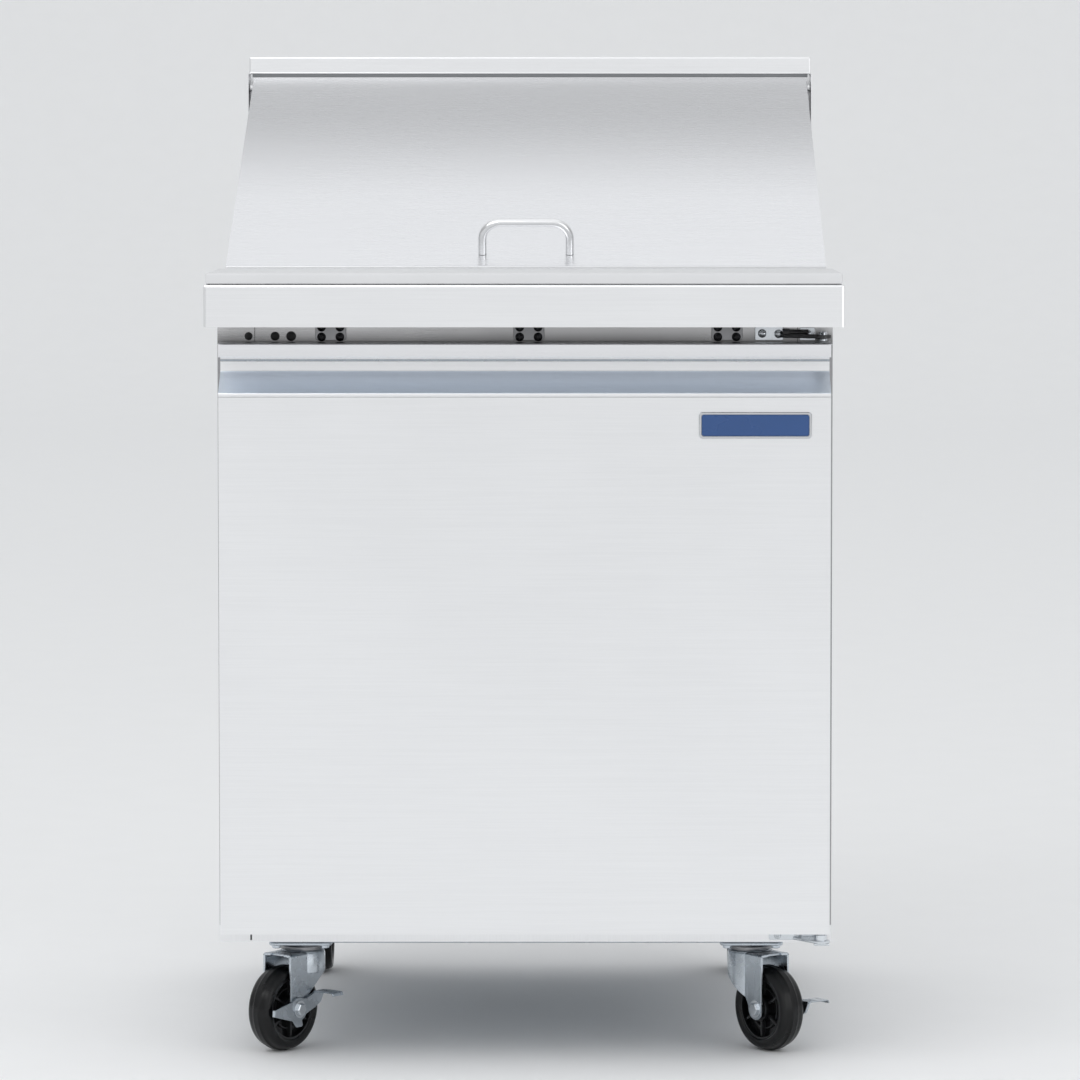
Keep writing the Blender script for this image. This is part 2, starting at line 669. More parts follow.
def build_pull():
    """Full-width pull: lip, top, back wall, and a long slope that rolls over on to the door's face."""
    low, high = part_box("door_pull")
    wall = 0.002
    lip = high.z - 0.016
    step = high.z - 0.034
    face = low.y
    rear = high.y
    outer = [(face, lip + 0.0006), (face, high.z - 0.0016)]
    outer += arc((face + 0.0016, high.z - 0.0016), 0.0016, 180, 90, 4)[1:]
    outer += [(rear, high.z), (rear, step - 0.0010)]
    slope = math.atan2(step - 0.0010 - low.z, rear - face)
    outer += [(face + 0.0004, low.z + 0.0004 * math.tan(slope)), (face, low.z + 0.0006)]
    inner = [(face, low.z + 0.0015)]
    inner += arc((face + 0.0030, low.z + 0.0028), 0.0030, 180, 122, 5)
    inner += arc((rear - wall - 0.0032, step + 0.0016), 0.0032, -57, 0, 5)
    groove = step + 0.0117
    inner += [(rear - wall, groove), (rear - wall + 0.0014, groove + 0.0002),
              (rear - wall + 0.0014, groove + 0.0024), (rear - wall, groove + 0.0026)]
    inner += [(rear - wall, high.z - wall - 0.003)]
    inner += arc((rear - wall - 0.003, high.z - wall - 0.003), 0.003, 0, 90, 4)[1:]
    inner += arc((face + wall + 0.002, high.z - wall - 0.002), 0.002, 90, 180, 4)
    inner += [(face + wall, lip + 0.0006), (face + wall - 0.0006, lip), (face + 0.0006, lip)]
    bm = bmesh.new()
    prism(bm, outer + inner, "YZ", low.x, high.x)
    pull = finish_piece("door_pull_extrusion", bm, "pull", "door", 28)
    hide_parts("door_pull")
    for extra in ("band", "rail", "door", "zinc"):
        pull.data.materials.append(MATERIALS[extra])
    for polygon in pull.data.polygons:
        level = polygon.center.z
        if polygon.normal.z > 0.3 and polygon.normal.y < -0.3 and level < step + 0.002:
            polygon.material_index = 1
        elif groove - 0.0001 < level < groove + 0.0027 and polygon.center.y > rear - wall - 0.0002:
            polygon.material_index = 4
        elif level < groove and abs(polygon.center.y - rear + wall) < 0.0002:
            polygon.material_index = 2
        elif level < low.z + 0.004:
            polygon.material_index = 3
    bush = bmesh.new()
    pin = Vector(JOINTS["door_hinge"]["pos_m"])
    lathe(bush, [(0.0052, 0.8505), (0.0085, 0.8500), (0.0085, 0.8484), (0.0052, 0.8484)],
          (pin.x, pin.y, 0), (0, 0, 1), 24, closed=True)
    lathe(bush, [(0.0052, 0.8458), (0.0080, 0.8455), (0.0075, 0.8400), (0.0052, 0.8395)],
          (pin.x, pin.y, 0), (0, 0, 1), 24, closed=True)
    finish_piece("door_pivot_bush", bush, "grey_plastic", "door")


def front_of(low, high):
    """Centre, half width and half height of a box as seen from the front."""
    return ((low.x + high.x) / 2, (low.z + high.z) / 2), (high.x - low.x) / 2, (high.z - low.z) / 2


def build_badge():
    """Plain blue plate in a raised metal frame, without lettering."""
    low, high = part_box("badge_plate")
    centre, half_width, half_height = front_of(low, high)
    front = low.y
    frame_bm = bmesh.new()
    rows = ((0, high.y, 0.0040), (0, front + 0.0005, 0.0040), (0.0006, front, 0.0036),
            (0.0026, front, 0.0028), (0.0031, front + 0.0006, 0.0024), (0.0031, high.y, 0.0024))
    loft(frame_bm, inset_loops(half_width, half_height, centre, rows, PLANES["XZ"]), closed=True)
    ring = finish_piece("badge_frame", frame_bm, "rim", "door")
    face = bmesh.new()
    flat = rounded_rectangle(half_width - 0.0032, half_height - 0.0032, 0.0024, 6, centre)
    prism(face, flat, "XZ", front + 0.0008, high.y, 0.0003)
    plate = finish_piece("badge_field", face, "badge", "door")
    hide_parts("badge_plate")
    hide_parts("badge_plate")


def build_gasket():
    """Magnetic gasket with a bellows fold, mitred at the corners."""
    low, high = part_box("door_gasket")
    middle, half_width, half_height = front_of(low, high)
    deep = high.y - low.y
    section = [(0.0010, 0), (0.0160, 0), (0.0160, 0.30), (0.0125, 0.42), (0.0155, 0.55), (0.0170, 0.72),
               (0.0165, 0.93), (0.0150, 1.0), (0.0020, 1.0), (0.0003, 0.90), (0.0003, 0.62),
               (0.0045, 0.48), (0.0010, 0.32)]
    rows = [(inset, low.y + share * deep, 0.0045 if inset < 0.008 else 0.003) for inset, share in section]
    bm = bmesh.new()
    loft(bm, inset_loops(half_width, half_height, middle, rows, PLANES["XZ"], 4), closed=True)
    gasket = finish_piece("door_gasket_bellows", bm, "gasket", "door")
    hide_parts("door_gasket")


def build_door_inner():
    """Pressed inner panel with a raised field, the channel round it, and its rivets."""
    low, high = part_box("door_inner_panel")
    rear = high.y
    middle, half_width, half_height = front_of(low, high)
    rows = ((0.0, rear - 0.004, 0.002), (0.0, rear - 0.0004, 0.002), (0.0004, rear, 0.002),
            (0.050, rear, 0.006), (0.0515, rear - 0.0012, 0.006), (0.0600, rear - 0.0012, 0.010),
            (0.0640, rear + 0.0040, 0.014), (0.0655, rear + 0.0048, 0.014))
    bm = bmesh.new()
    loft(bm, inset_loops(half_width, half_height, middle, rows, PLANES["XZ"]))
    panel = finish_piece("door_inner_pressing", bm, "liner", "door")
    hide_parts("door_inner_panel")
    rivets = []
    for share in (0.12, 0.37, 0.63, 0.88):
        for across in (low.x + 0.012, high.x - 0.012):
            rivets.append((across, rear, low.z + share * (high.z - low.z)))
    bm = bmesh.new()
    for place in rivets:
        lathe(bm, [(0, 0.0010), (0.0018, 0.0008), (0.0028, 0.0003), (0.0030, -0.0001), (0, -0.0001)],
              place, (0, 1, 0), 14)
    finish_piece("door_inner_rivets", bm, "rod", "door")


# ---------------------------------------------------------------- lid and hood

def lid_axes():
    """Top of the lid's front edge, the direction up its slope, and its outward normal."""
    pivot = Vector(JOINTS["lid_hinge"]["pos_m"])
    low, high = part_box("lid_skin")
    front_top = Vector((0, low.y, LID_FRONT_TOP))
    top = high.z - pivot.z
    reach = Vector((0, pivot.y - front_top.y, pivot.z - front_top.z))
    lean = math.atan2(reach.z, reach.y) + math.asin(top / reach.length)
    along = Vector((0, math.cos(lean), math.sin(lean)))
    return front_top, along, Vector((0, -along.z, along.y))


LID_FRONT_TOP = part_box("lid_skin")[0].z + 0.013


def build_lid_details():
    """Hem along the lid's front edge, bent-rod handle and the inner panel."""
    low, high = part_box("lid_skin")
    start, along, out = lid_axes()
    hem = bmesh.new()
    section = [(low.y - 0.0002, low.z), (low.y - 0.0002, LID_FRONT_TOP - 0.0016)]
    section += arc((low.y + 0.0016, LID_FRONT_TOP - 0.0018), 0.0018, 180, 115, 5)
    section += [(low.y + 0.0020, LID_FRONT_TOP - 0.0030), (low.y + 0.0020, low.z)]
    prism(hem, section, "YZ", low.x + 0.0005, high.x - 0.0005)
    finish_piece("lid_front_hem", hem, "rail", "lid", 25)

    handle_low, handle_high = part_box("lid_handle")
    rod = 0.005
    half = (handle_high.x - handle_low.x) / 2 - rod
    reach = 0.040
    bend = 0.021
    foot = start + along * 0.036
    flat = [(-half, 0.0004)]
    flat += arc((-half + bend, reach - bend), bend, 180, 90, 12)
    flat += arc((half - bend, reach - bend), bend, 90, 0, 12)
    flat += [(half, 0.0004)]
    bm = bmesh.new()
    sweep(bm, [Vector((across, 0, 0)) + foot + out * up for across, up in flat], rod, 24)
    handle = finish_piece("lid_handle_rod", bm, "rod", "lid")
    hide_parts("lid_handle")
    build_lid_panel(start, along, out)


def build_lid_panel(start, along, out):
    """Insulated panel under the lid with a raised field, and its screws."""
    low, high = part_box("lid_panel")
    top = 0.0024
    thick = 0.0215
    near = 0.018
    far = 0.558
    half_long = (far - near) / 2
    middle = start + along * (near + half_long)
    half_wide = (high.x - low.x) / 2
    rows = ((0.0, top, 0.004), (0.0, thick - 0.004, 0.004), (0.0015, thick - 0.002, 0.005),
            (0.020, thick - 0.002, 0.012), (0.024, thick + 0.0022, 0.016), (0.030, thick + 0.0024, 0.018))
    bm = bmesh.new()
    loft(bm, inset_loops(half_wide, half_long, (0, 0), rows, lambda across, up, below: (
        middle + Vector((across, 0, 0)) + along * up - out * below)))
    panel = finish_piece("lid_inner_pressing", bm, "liner", "lid")
    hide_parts("lid_panel")
    places = []
    for share in (-0.9, -0.3, 0.3, 0.9):
        for level in (-0.965, 0.965):
            places.append(middle + Vector((share * half_wide, 0, 0)) + along * (level * half_long)
                          - out * (thick - 0.002))
    screws("lid_panel_screws", places, tuple(-out), 0.0034, "rod", "lid")


def build_hood_details():
    """Hem and seal strip under the cap, pivot washers and the screws at the back."""
    low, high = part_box("hood_cap")
    bm = bmesh.new()
    block(bm, (low.x + 0.0005, low.y - 0.0006, low.z), (high.x - 0.0005, low.y + 0.0012, low.z + 0.0022),
          0.0005, 3)
    finish_piece("cap_hem", bm, "rail", "cabinet")
    shadow = bmesh.new()
    block(shadow, (low.x + 0.004, low.y + 0.0002, low.z - 0.004), (high.x - 0.004, low.y + 0.0020, low.z),
          0.0003)
    finish_piece("hood_seal_strip", shadow, "grey_plastic", "cabinet")
    pivot = Vector(JOINTS["lid_hinge"]["pos_m"])
    washers = bmesh.new()
    for side in (-1, 1):
        lathe(washers, [(0.0046, 0.0012), (0.0085, 0.0010), (0.0085, 0.0), (0.0046, 0.0)],
              (side * 0.3565, pivot.y, pivot.z), (side, 0, 0), 24, closed=True)
        lathe(washers, [(0, 0.0025), (0.0040, 0.0022), (0.0052, 0.0008), (0.0052, 0.0), (0, 0.0)],
              (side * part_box("hood_shell")[1].x - side * 0.0025, pivot.y, pivot.z), (side, 0, 0), 24)
    finish_piece("lid_pivot_washers", washers, "dark_steel", "cabinet")
    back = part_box("hood_shell")[1].y
    places = [(share * 0.33, back, level) for share in (-1, -0.33, 0.33, 1) for level in (0.945, 1.145)]
    screws("hood_back_screws", places, (0, 1, 0), 0.0040, "rod", "cabinet")


# ---------------------------------------------------------------- well and pans

def build_pans():
    """Deep-drawn pans with rolled rims, soft corners and slightly sloping walls."""
    for row in "123":
        for column in "1234":
            node = f"food_pan_{row}{column}"
            low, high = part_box(node)
            middle = ((low.x + high.x) / 2, (low.y + high.y) / 2)
            half_wide = (high.x - low.x) / 2
            half_deep = (high.y - low.y) / 2
            rim = high.z
            floor = low.z
            inside = (
                (0.0012, rim - 0.0030, 0.0140), (0.0000, rim - 0.0022, 0.0150),
                (0.0003, rim - 0.0008, 0.0148), (0.0016, rim, 0.0140),
                (0.0100, rim - 0.0002, 0.0180), (0.0128, rim - 0.0012, 0.0200),
                (0.0140, rim - 0.0040, 0.0200), (0.0190, floor + 0.0130, 0.0210),
                (0.0215, floor + 0.0070, 0.0220), (0.0265, floor + 0.0028, 0.0240),
                (0.0330, floor + 0.0012, 0.0250), (0.0335, floor, 0.0250))
            outside = (
                (0.0110, rim - 0.0014, 0.0190), (0.0128, rim - 0.0040, 0.0200),
                (0.0178, floor + 0.0130, 0.0210), (0.0200, floor + 0.0060, 0.0220),
                (0.0265, floor + 0.0010, 0.0240))
            bm = bmesh.new()
            for rows in (inside, outside):
                loft(bm, inset_loops(half_wide, half_deep, middle, rows, PLANES["XY"]), cap_start=False)
            pan = finish_piece(f"pan_drawn_{row}{column}", bm, "pan", "cabinet", 60)
            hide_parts(node)


def build_pan_bars():
    """Folded adapter bars between the pan rows, with a rounded top and end tabs."""
    for node, name in (("pan_bar_front", "adapter_bar_front"), ("pan_bar_rear", "adapter_bar_rear")):
        low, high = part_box(node)
        middle = (low.y + high.y) / 2
        half = (high.y - low.y) / 2
        outline = [(middle - half, low.z), (middle - half + 0.0010, low.z)]
        outline += [(middle - half + 0.0010, high.z - 0.0022)]
        outline += [(middle + half - 0.0010, high.z - 0.0022), (middle + half - 0.0010, low.z)]
        outline += [(middle + half, low.z), (middle + half, high.z - 0.0016)]
        outline += arc((middle + half - 0.0016, high.z - 0.0016), 0.0016, 0, 90, 4)[1:]
        outline += arc((middle - half + 0.0016, high.z - 0.0016), 0.0016, 90, 180, 4)
        bm = bmesh.new()
        prism(bm, outline, "YZ", low.x, high.x)
        bar = finish_piece(name, bm, "pan", "cabinet", 30)
        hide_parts(node)


def build_wire_shelf():
    """Coated wire shelf: frame, cross wires, two stiffeners, and its four clips on slotted strips."""
    low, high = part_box("wire_shelf")
    frame_radius = 0.0028
    wire = 0.0016
    level = high.z - frame_radius
    bm = bmesh.new()
    inset = frame_radius + 0.0004
    flat = rounded_rectangle((high.x - low.x) / 2 - inset, (high.y - low.y) / 2 - inset, 0.012, 5,
                             ((low.x + high.x) / 2, (low.y + high.y) / 2))
    sweep(bm, [Vector((across, deep, level)) for across, deep in flat], frame_radius, 12, closed=True)
    for share in (0.30, 0.70):
        deep = low.y + share * (high.y - low.y)
        sweep(bm, [(low.x + inset, deep, level - 0.0006), (high.x - inset, deep, level - 0.0006)],
              frame_radius, 12)
    count = 25
    for i in range(count):
        across = low.x + (i + 1) * (high.x - low.x) / (count + 1)
        sweep(bm, [(across, low.y + inset, high.z - wire), (across, high.y - inset, high.z - wire)], wire, 8)
    shelf = finish_piece("shelf_wires", bm, "wire", "cabinet", 60)
    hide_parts("wire_shelf")
    liner_low, liner_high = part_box("inner_liner")
    strips = bmesh.new()
    clips = bmesh.new()
    for side, wall in ((1, liner_low.x + 0.0008), (-1, liner_high.x - 0.0008)):
        for deep in (low.y + 0.050, high.y - 0.060):
            build_strip(strips, wall, side, deep, liner_low.z + 0.060, 0.790)
            block(clips, (wall + side * 0.0005 if side > 0 else wall - 0.0090, deep - 0.009, low.z - 0.0080),
                  (wall + 0.0090 if side > 0 else wall - 0.0005, deep + 0.009, low.z - 0.0003), 0.0010)
    finish_piece("shelf_strips", strips, "rod", "cabinet")
    finish_piece("shelf_clips", clips, "rod", "cabinet")


def build_strip(bm, wall, side, deep, bottom, top):
    """A slotted shelf strip on the liner's side wall."""
    thick = 0.0022
    low_x, high_x = sorted((wall, wall + side * thick))
    half = 0.0085
    slot_half = 0.0045
    pitch = 0.0254
    for edge in (-1, 1):
        near, far = sorted((deep + edge * half, deep + edge * slot_half))
        block(bm, (low_x, near, bottom), (high_x, far, top), 0.0003)
    level = bottom
    while level < top:
        block(bm, (low_x, deep - slot_half, level),
              (high_x, deep + slot_half, min(level + pitch * 0.62, top)), 0.0002)
        level += pitch


# ---------------------------------------------------------------- fans and coils

def build_fan(name, joint, radius, hub, blades, material, body, replaced):
    """An axial fan: domed hub and swept, twisted blades."""
    pivot = Vector(JOINTS[joint]["pos_m"])
    bm = bmesh.new()
    lathe(bm, [(0, -0.0100), (hub * 0.55, -0.0098), (hub * 0.9, -0.0080), (hub, -0.0045), (hub, 0.0095),
               (hub * 0.92, 0.0105), (0.0050, 0.0105), (0, 0.0105)], pivot, (0, 1, 0), 40)
    for i in range(blades):
        start = 2 * math.pi * i / blades
        front = []
        rear = []
        steps = 12
        for k in range(steps + 1):
            share = k / steps
            reach = hub * 0.97 + share * (radius - hub * 0.97)
            spread = (0.62 - 0.10 * share) * 2 * math.pi / blades
            lead = start + 0.35 * share
            lift = 0.0085 * (1 - 0.35 * share)
            row_front = []
            row_rear = []
            for m in range(9):
                part = m / 8
                tip = 1 - 0.10 * (share ** 6) * (2 * part - 1) ** 2
                angle = lead + spread * (part - 0.5) * tip
                depth = lift * (2 * part - 1) + 0.0015 * math.sin(math.pi * part)
                spot = Vector((reach * math.cos(angle), 0, reach * math.sin(angle)))
                row_front.append(bm.verts.new(pivot + spot + Vector((0, depth - 0.0007, 0))))
                row_rear.append(bm.verts.new(pivot + spot + Vector((0, depth + 0.0007, 0))))
            front.append(row_front)
            rear.append(row_rear)
        skin_grid(bm, front, rear)
    fan = finish_piece(name, bm, material, body, 40)
    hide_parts(replaced)


def skin_grid(bm, front, rear):
    """Close a thin sheet given by two grids of vertices."""
    rows = len(front)
    columns = len(front[0])
    for i in range(rows - 1):
        for k in range(columns - 1):
            bm.faces.new((front[i][k], front[i + 1][k], front[i + 1][k + 1], front[i][k + 1]))
            bm.faces.new((rear[i][k], rear[i][k + 1], rear[i + 1][k + 1], rear[i + 1][k]))
        for k in (0, columns - 1):
            bm.faces.new((front[i][k], rear[i][k], rear[i + 1][k], front[i + 1][k]))
    for k in range(columns - 1):
        for i in (0, rows - 1):
            bm.faces.new((front[i][k], front[i][k + 1], rear[i][k + 1], rear[i][k]))


def build_guard(bm, centre, radius, depth, bow):
    """A wire fan guard: rings on bowed arms, facing -Y."""
    rings = 6
    arms = 4
    wire = 0.0011
    for i in range(rings):
        reach = radius * (0.22 + 0.78 * i / (rings - 1))
        lift = bow * (1 - (reach / radius) ** 2)
        points = [Vector((centre[0] + reach * math.cos(a), depth - lift, centre[1] + reach * math.sin(a)))
                  for a in [2 * math.pi * k / 40 for k in range(40)]]
        sweep(bm, points, wire, 8, closed=True)
    for k in range(arms):
        angle = math.pi / 4 + 2 * math.pi * k / arms
        points = []
        for m in range(9):
            share = 0.18 + 0.88 * m / 8
            reach = radius * share
            lift = bow * (1 - min(share, 1) ** 2) - 2 * wire
            points.append(Vector((centre[0] + reach * math.cos(angle), depth - lift,
                                  centre[1] + reach * math.sin(angle))))
        sweep(bm, points, wire * 1.3, 8)


def build_evaporator():
    """Colour and screws of the fan-coil cover, its guarded fan, and the coil with its tubes."""
    low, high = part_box("evaporator_cover")
    pivot = Vector(JOINTS["evaporator_fan_spin"]["pos_m"])
    paint("liner", "evaporator_cover")
    guard = bmesh.new()
    build_guard(guard, (pivot.x, pivot.z), 0.082, low.y - 0.0016, 0.006)
    finish_piece("evaporator_fan_guard", guard, "wire", "cabinet", 60)
    places = [(low.x + dx if dx > 0 else high.x + dx, low.y, low.z + dz if dz > 0 else high.z + dz)
              for dx in (0.012, -0.012) for dz in (0.014, -0.014)]
    screws("evaporator_screws", places, (0, -1, 0), 0.0040, "rod", "cabinet")
    build_fan("evaporator_fan_rotor", "evaporator_fan_spin", 0.075, 0.020, 5, "white_plastic",
              "evaporator_fan", "evaporator_fan_blade")
    build_coil("evaporator_fins", "evaporator_coil", 60)
    build_coil_tubes("evaporator_tubes", "evaporator_coil", 6)


def build_coil(name, node, fins):
    """A finned coil: thin plates with bright edges across the whole width."""
    low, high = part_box(node)
    bm = bmesh.new()
    margin = 0.006
    pitch = (high.x - low.x - 2 * margin) / fins
    for i in range(fins + 1):
        across = low.x + margin + i * pitch
        block(bm, (across - 0.00025, low.y + 0.0006, low.z + 0.0010),
              (across + 0.00025, high.y - 0.0006, high.z - 0.0010))
    for across in (low.x + 0.0010, high.x - 0.0026):
        block(bm, (across, low.y, low.z), (across + 0.0016, high.y, high.z), 0.0004)
    coil = finish_piece(name, bm, "zinc_bright", "cabinet")
    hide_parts(node)


def build_coil_tubes(name, node, passes):
    """Copper tubes through the fins with U bends at both ends."""
    low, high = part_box(node)
    rows = [low.y + share * (high.y - low.y) for share in (0.28, 0.72)]
    pitch = (high.z - low.z) / (passes + 1)
    radius = min(0.0045, pitch * 0.20)
    turn = pitch / 2
    near = low.x + 0.005 + turn
    far = high.x - 0.005 - turn
    bm = bmesh.new()
    for depth in rows:
        points = []
        for i in range(passes):
            level = low.z + (i + 1) * pitch
            ends = (near, far) if i % 2 == 0 else (far, near)
            points += [Vector((ends[0], depth, level)), Vector((ends[1], depth, level))]
            if i + 1 < passes:
                side = 1 if i % 2 == 0 else -1
                for across, up in arc((ends[1], level + turn), turn, -90, 90, 6)[1:-1]:
                    points.append(Vector((ends[1] + side * abs(across - ends[1]), depth, up)))
        sweep(bm, points, radius, 12)
    finish_piece(name, bm, "copper", "cabinet", 60)


# ---------------------------------------------------------------- condensing unit and back

def build_condensing_unit():
    """Hermetic compressor, finned condenser with its guarded fan, and the pipe between them."""
    build_compressor()
    low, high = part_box("condenser_coil")
    build_coil("condenser_fins", "condenser_coil", 90)
    build_coil_tubes("condenser_tubes", "condenser_coil", 7)
    build_fan("condenser_fan_rotor", "condenser_fan_spin", 0.097, 0.030, 5, "black_plastic", "condenser_fan",
              "condenser_fan_blade")
    pivot = Vector(JOINTS["condenser_fan_spin"]["pos_m"])
    shroud_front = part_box("condenser_fan_shroud")[0].y
    guard = bmesh.new()
    build_guard(guard, (pivot.x, pivot.z), 0.106, shroud_front + 0.0022, 0.0)
    finish_piece("condenser_fan_guard", guard, "zinc", "cabinet", 60)
    body_low, body_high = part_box("compressor")
    pipe = bmesh.new()
    top = body_high.z - 0.030
    start = (body_low.x + 0.006, (body_low.y + body_high.y) / 2, top)
    end = (high.x - 0.004, low.y + 0.012, low.z + 0.200)
    middle = (start[0] + end[0]) / 2
    bend = [start, (middle + 0.015, start[1], top + 0.004), (middle, start[1], top + 0.016),
            (middle, start[1], end[2] - 0.014), (middle - 0.006, start[1] + 0.004, end[2] - 0.003),
            (middle - 0.018, end[1] - 0.004, end[2]), end]
    sweep(pipe, bend, 0.0038, 14)
    finish_piece("discharge_pipe", pipe, "copper", "cabinet", 60)


def build_compressor():
    """Domed steel shell with a weld seam, on a base plate with four bolts, and its terminal cover."""
    low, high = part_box("compressor")
    centre = ((low.x + high.x) / 2, (low.y + high.y) / 2)
    radius = (high.y - low.y) / 2 - 0.0008
    foot = 0.004
    tall = high.z - low.z
    bm = bmesh.new()
    seam = tall * 0.52
    profile = [(0, foot + 0.0005), (radius * 0.55, foot + 0.0010), (radius * 0.86, foot + 0.008),
               (radius * 0.955, foot + 0.024), (radius * 0.965, seam - 0.004),
               (radius * 0.985, seam - 0.0035), (radius * 0.985, seam + 0.0035),
               (radius * 0.955, seam + 0.004), (radius * 0.945, tall * 0.74)]
    for share in (15, 30, 45, 60, 75):
        angle = math.radians(share)
        profile.append((radius * 0.945 * math.cos(angle), tall * 0.74 + tall * 0.255 * math.sin(angle)))
    profile.append((0, tall * 0.995))
    lathe(bm, profile, (*centre, low.z), (0, 0, 1), 64)
    shell = finish_piece("compressor_shell", bm, "black_steel", "cabinet", 25)
    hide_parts("compressor")
    details = bmesh.new()
    block(details, (low.x + 0.002, low.y + 0.004, low.z),
          (high.x - 0.002, high.y - 0.004, low.z + foot), 0.001)
    finish_piece("compressor_base", details, "black_steel", "cabinet")
    terminal = bmesh.new()
    block(terminal, (centre[0] - 0.024, centre[1] - radius * 0.97, low.z + 0.058),
          (centre[0] + 0.024, centre[1] - radius * 0.80, low.z + 0.112), 0.004, 3)
    finish_piece("terminal_cover", terminal, "grey_plastic", "cabinet")
    bolts = bmesh.new()
    places = [(centre[0] + dx, centre[1] + dy, low.z + foot)
              for dx in (-0.080, 0.080) for dy in (-0.052, 0.052)]
    hexagon_bolts(bolts, places, (0, 0, 1), 0.0055, 0.0045)
    finish_piece("compressor_bolts", bolts, "zinc_bright", "cabinet")


def build_back():
    """Colour and countersunk screws of the rear cover, and the power inlet."""
    low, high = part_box("rear_cover")
    paint("side", "rear_cover")
    sunk = 0.0023
    places = [(across, high.y - sunk, level) for across in (low.x + 0.012, 0.0, high.x - 0.012)
              for level in (low.z + 0.012, high.z - 0.012)]
    screws("rear_cover_screws", places, (0, 1, 0), 0.0042, "rod", "cabinet")
    inlet_low, inlet_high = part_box("power_inlet")
    centre = ((inlet_low.x + inlet_high.x) / 2, (inlet_low.z + inlet_high.z) / 2)
    half = (inlet_high.x - inlet_low.x) / 2
    back = inlet_low.y
    deep = inlet_high.y - inlet_low.y
    bm = bmesh.new()
    lathe(bm, [(half, 0), (half, 0.0016), (half - 0.0012, 0.0028), (0.0102, 0.0030), (0.0098, deep - 0.0005),
               (0.0088, deep), (0.0060, deep), (0.0056, deep - 0.003), (0.0056, 0.001), (0, 0.001), (0, 0)],
          (centre[0], back, centre[1]), (0, 1, 0), 40)
    for i in range(6):
        angle = math.pi * i / 3
        across = centre[0] + 0.0101 * math.cos(angle)
        level = centre[1] + 0.0101 * math.sin(angle)
        block(bm, (across - 0.0006, back + 0.0030, level - 0.0006),
              (across + 0.0006, back + deep - 0.001, level + 0.0006), 0.0002)
    gland = finish_piece("cord_gland", bm, "black_plastic", "cabinet", 40)
    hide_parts("power_inlet")


def build_base():
    """Pressed ribs and the screws of the base pan."""
    low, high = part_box("base_pan")
    ribs = bmesh.new()
    middle = (low.y + high.y) / 2
    for across in (-0.16, 0.0, 0.16):
        flat = rounded_rectangle(0.012, (high.y - low.y) * 0.34, 0.011, 8, (across, middle))
        loops = []
        for inset, drop in ((0.0, 0.0), (0.0022, 0.0030), (0.0040, 0.0038)):
            loops.append([Vector((a, b, low.z + 0.0002 - drop)) for a, b in shrink(flat, inset)])
        loft(ribs, loops)
    finish_piece("base_ribs", ribs, "zinc", "cabinet")
    places = [(across, deep, low.z) for across in (low.x + 0.010, high.x - 0.010)
              for deep in (-0.06, 0.06, 0.20)]
    screws("base_screws", places, (0, 0, -1), 0.0042, "rod", "cabinet")


# ---------------------------------------------------------------- casters

TRAIL = 0.036
AXLE = 0.051


def build_casters():
    """Plate and race, pressed fork, ribbed wheel and, at the front, the side brake."""
    for name in CASTERS:
        swivel = JOINTS[f"swivel_{name}"]["pos_m"]
        axle = JOINTS[f"roll_{name}"]["pos_m"]
        turn = math.atan2(axle[1] - swivel[1], axle[0] - swivel[0]) + math.pi / 2
        place = Matrix.Translation((swivel[0], swivel[1], 0)) @ Matrix.Rotation(turn, 4, "Z")
        build_caster_plate(name)
        build_fork(name, place)
        build_wheel(name, place)
        if name.startswith("front"):
            build_brake(name, place)


def build_caster_plate(name):
    """Rounded plate with a stepped, pressed race housing and four bolts."""
    low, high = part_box(f"caster_plate_{name}")
    middle = ((low.x + high.x) / 2, (low.y + high.y) / 2)
    bm = bmesh.new()
    flat = rounded_rectangle((high.x - low.x) / 2, (high.y - low.y) / 2, 0.009, 8, middle)
    prism(bm, flat, "XY", high.z - 0.003, high.z, 0.0005)
    race = bmesh.new()
    lathe(race, [(0.0, low.z + 0.0006), (0.0225, low.z + 0.0006), (0.0240, low.z), (0.0256, low.z + 0.0004),
                 (0.0262, low.z + 0.0018), (0.0262, low.z + 0.0042), (0.0285, low.z + 0.0066),
                 (0.0310, high.z - 0.0032), (0.0, high.z - 0.0031)], (*middle, 0), (0, 0, 1), 56)
    ring = finish_piece(f"race_{name}", race, "dark_steel", "cabinet")
    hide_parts(f"caster_plate_{name}")
    plate = finish_piece(f"plate_{name}", bm, "zinc", "cabinet")
    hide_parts(f"caster_plate_{name}")
    bolts = bmesh.new()
    places = [(middle[0] + dx, middle[1] + dy, high.z - 0.003) for dx in (-0.0285, 0.0285)
              for dy in (-0.0385, 0.0385)]
    hexagon_bolts(bolts, places, (0, 0, -1), 0.0055, 0.0040)
    finish_piece(f"plate_bolts_{name}", bolts, "zinc", "cabinet")


def build_barrel(bm, crown, start, slope):
    """Curved back of the fork, cut on a slant, and clear of the brake lever on its side."""
    outside = 0.0273
    inside = 0.0248
    lever_top = 0.0909
    sections = []
    for i in range(41):
        angle = math.radians(-38 + 256 * i / 40)
        across = math.cos(angle)
        deep = math.sin(angle)
        bottom = start[1] + (outside * deep - start[0]) * slope
        if across > 0:
            bottom = max(bottom, lever_top)
        ring = [(inside, bottom), (outside - 0.0004, bottom), (outside, bottom + 0.0006),
                (outside, crown - 0.0026), (outside - 0.0008, crown - 0.0008), (outside - 0.0022, crown),
                (inside, crown - 0.0004)]
        sections.append([Vector((radius * across, radius * deep, level)) for radius, level in ring])
    loft(bm, sections)


